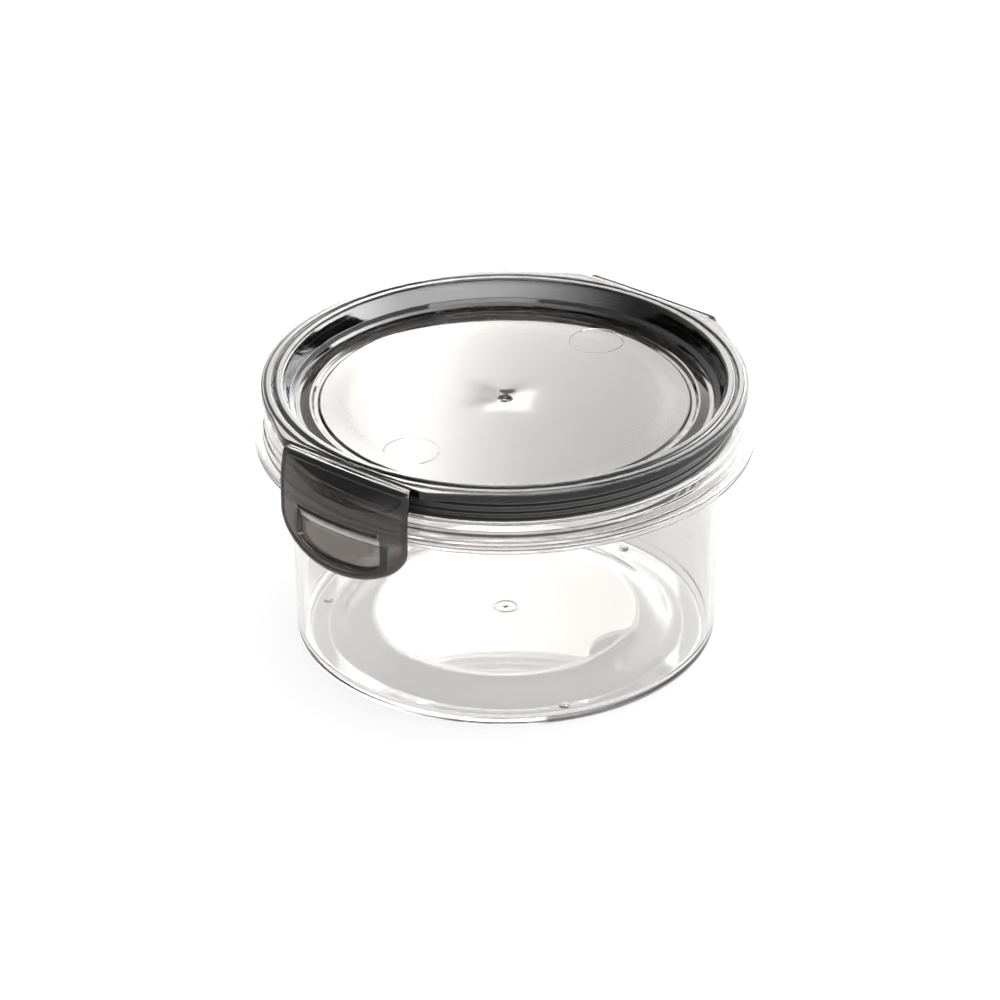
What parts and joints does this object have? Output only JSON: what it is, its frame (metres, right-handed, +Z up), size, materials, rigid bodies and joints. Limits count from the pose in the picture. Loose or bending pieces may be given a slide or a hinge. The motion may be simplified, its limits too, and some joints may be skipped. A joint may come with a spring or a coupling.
{
  "type": "food canister",
  "caption": "Round clear food canister with a flanged mouth, recessed smoke-grey snap lid, black silicone gasket and opposed living-hinge clips.",
  "frame": {"origin": "centre of the base on the surface it stands on", "axes": "+Z up; Y through the two clips, with the front clip at -Y; X across"},
  "size_m": [0.1296, 0.1358, 0.0725],
  "materials": {
    "clear_plastic": "clear moulded plastic, polished",
    "smoke_plastic": "transparent smoke-grey moulded plastic, polished",
    "black_silicone": "black silicone, satin"
  },
  "bodies": {
    "bowl": {"bowl": "clear_plastic"},
    "lid": {"lid": "smoke_plastic", "lid_gasket": "black_silicone"},
    "front_clip": {"front_clip": "smoke_plastic", "front_living_hinge": "smoke_plastic"},
    "rear_clip": {"rear_clip": "smoke_plastic", "rear_living_hinge": "smoke_plastic"}
  },
  "joints": [
    {"name": "lid_lift", "type": "slide", "parent": "bowl", "child": "lid", "axis": [0, 0, 1], "range_m": [0, 0.05]},
    {"name": "front_clip_hinge", "type": "hinge", "parent": "lid", "child": "front_clip", "pos_m": [0, -0.0611, 0.07185], "axis": [-1, 0, 0], "range_deg": [-4.5, 110], "stiffness_Nm_per_rad": 0.02, "deforming": ["front_living_hinge"]},
    {"name": "rear_clip_hinge", "type": "hinge", "parent": "lid", "child": "rear_clip", "pos_m": [0, 0.0611, 0.07185], "axis": [1, 0, 0], "range_deg": [-4.5, 110], "stiffness_Nm_per_rad": 0.02, "deforming": ["rear_living_hinge"]}
  ]
}
